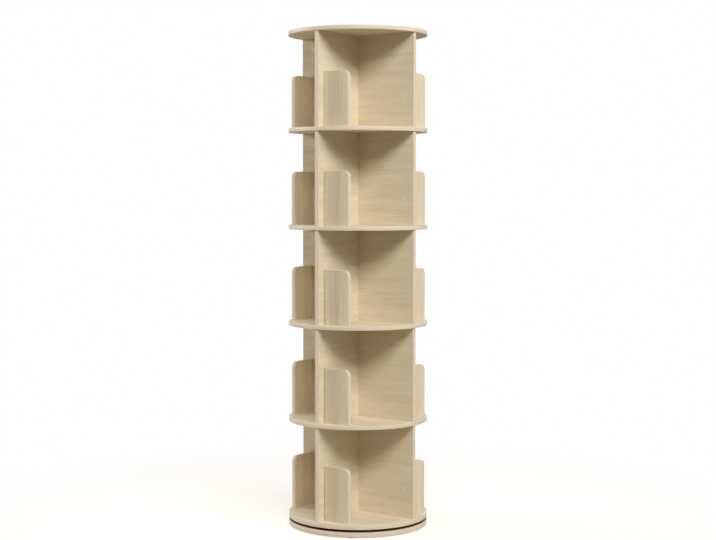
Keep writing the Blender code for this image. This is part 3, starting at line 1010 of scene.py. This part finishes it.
# %% [markdown]
# ## Light and floor
#
# Plain soft studio light. One wide soft box stands high in front and to the right. It draws the soft
# slanting shadow under each shelf, and it is long rather than tall, so that the shadow stays dark just
# below the boards. It stands seven metres away, so that the lowest board gets nearly as much light as the
# top. Low lamps at the sides and one behind keep the other faces from going dull.

# %% Lamps
LAMP_DISTANCE = 7.0
AIM_HEIGHT = 0.8


def soft_box(name, azimuth, elevation, width, height, power):
    """A rectangular area lamp that looks at the middle of the bookcase, placed by its two angles."""
    lamp = bpy.data.lights.new(name, "AREA")
    lamp.shape = "RECTANGLE"
    lamp.size = width
    lamp.size_y = height
    lamp.energy = power
    holder = bpy.data.objects.new(name, lamp)
    bpy.context.scene.collection.objects.link(holder)
    turn, rise = math.radians(azimuth), math.radians(elevation)
    away = Vector((math.sin(turn) * math.cos(rise), -math.cos(turn) * math.cos(rise), math.sin(rise)))
    holder.location = Vector((0.0, 0.0, AIM_HEIGHT)) + away * LAMP_DISTANCE
    holder.rotation_euler = away.to_track_quat("Z", "Y").to_euler()


# Azimuth and elevation in degrees, width and height in metres, and power in watts.
soft_box("front_box", 58.0, 38.5, 7.8, 2.1, 565.0)
soft_box("left_box", -70.0, 17.0, 2.1, 2.1, 285.0)
soft_box("right_box", 130.0, 10.0, 2.1, 2.1, 72.0)
soft_box("back_box", 212.0, 30.0, 4.2, 2.1, 80.0)

# %% [markdown]
# The surround is white to the camera and in reflections. As a light it is only a seventh as bright, which
# fills the shadows evenly, as the walls of a room do.

# %% Surround
SURROUND = 0.14
WHITE = linear("FFFFFF")


def seen_directly(tree):
    """1 for a ray from the camera, a reflection or a clear material, and 0 for light that bounces about."""
    ray = add_node(tree, "ShaderNodeLightPath", {}, {})
    seen = add_node(tree, "ShaderNodeMath", {"operation": "ADD"},
                    {FIRST: ray.outputs["Is Camera Ray"], SECOND: ray.outputs["Is Glossy Ray"]})
    return add_node(tree, "ShaderNodeMath", {"operation": "ADD", "use_clamp": True},
                    {FIRST: seen.outputs[0], SECOND: ray.outputs["Is Transmission Ray"]}).outputs[0]


world = bpy.data.worlds.new("studio")
bpy.context.scene.world = world
world.use_nodes = True
tree = world.node_tree
sky = tree.nodes["Background"]
level = add_node(tree, "ShaderNodeMapRange", {},
                 {"Value": seen_directly(tree), TO_LOW: SURROUND, TO_HIGH: 1.0})
tree.links.new(level.outputs[0], sky.inputs["Strength"])
sky.inputs["Color"].default_value = WHITE
bpy.context.scene.view_settings.view_transform = "Standard"
print("surround at", SURROUND)

# %% [markdown]
# The floor is matt and grey, and darker from about a metre out, so light bounces up beside the bookcase and
# not far from it. Seen directly the floor also glows, and more and more of it gives way to pure white with
# distance, until it is as white as the surround and no horizon shows. Near the bookcase the shadow stays.

# %% Floor
FLOOR_SIZE = 60.0
# The distances from the axis between which the floor goes from pale to dark, and from itself to white.
DARKENING = (0.7, 1.8)
WHITENING = (0.4, 1.6)
GLOW = 0.6

floor = start("floor", bpy.ops.mesh.primitive_plane_add, size=FLOOR_SIZE, location=(0.0, 0.0, 0.0))
material, tree, shader = new_material("matt_grey_floor", 0.9)
shader.inputs["Specular IOR Level"].default_value = 0.0
place = add_node(tree, "ShaderNodeTexCoord", {}, {})
away = add_node(tree, "ShaderNodeVectorMath", {"operation": "LENGTH"},
                {FIRST: place.outputs["Object"]}).outputs["Value"]
dark = add_node(tree, "ShaderNodeMapRange", {"interpolation_type": "SMOOTHSTEP"},
                {"Value": away, FROM_LOW: DARKENING[0], FROM_HIGH: DARKENING[1]})
colour = add_node(tree, "ShaderNodeMix", {"data_type": "RGBA"},
                  {SHARE: dark.outputs[0], COLOUR_A: linear("BFB6A8"), COLOUR_B: linear("8E867A")})
tree.links.new(colour.outputs[MIXED], shader.inputs["Base Color"])
print("the floor is", FLOOR_SIZE, "m wide, and pale within", DARKENING[0], "m of the axis")

# %% Glow and fade to white
seen = seen_directly(tree)
level = add_node(tree, "ShaderNodeMath", {"operation": "MULTIPLY"}, {FIRST: seen, SECOND: GLOW})
glow = add_node(tree, "ShaderNodeEmission", {}, {"Color": WHITE, "Strength": level.outputs[0]})
near = add_node(tree, "ShaderNodeAddShader", {}, {FIRST: shader.outputs[0], SECOND: glow.outputs[0]})
white = add_node(tree, "ShaderNodeEmission", {}, {"Color": WHITE, "Strength": 1.0})
fade = add_node(tree, "ShaderNodeMapRange", {"interpolation_type": "SMOOTHSTEP"},
                {"Value": away, FROM_LOW: WHITENING[0], FROM_HIGH: WHITENING[1]})
share = add_node(tree, "ShaderNodeMath", {"operation": "MULTIPLY"}, {FIRST: fade.outputs[0], SECOND: seen})
both = add_node(tree, "ShaderNodeMixShader", {},
                {FIRST: share.outputs[0], SECOND: near.outputs[0], THIRD: white.outputs[0]})
tree.links.new(both.outputs[0], tree.nodes["Material Output"].inputs["Surface"])
floor.data.materials.append(material)
print("standing on its floor")
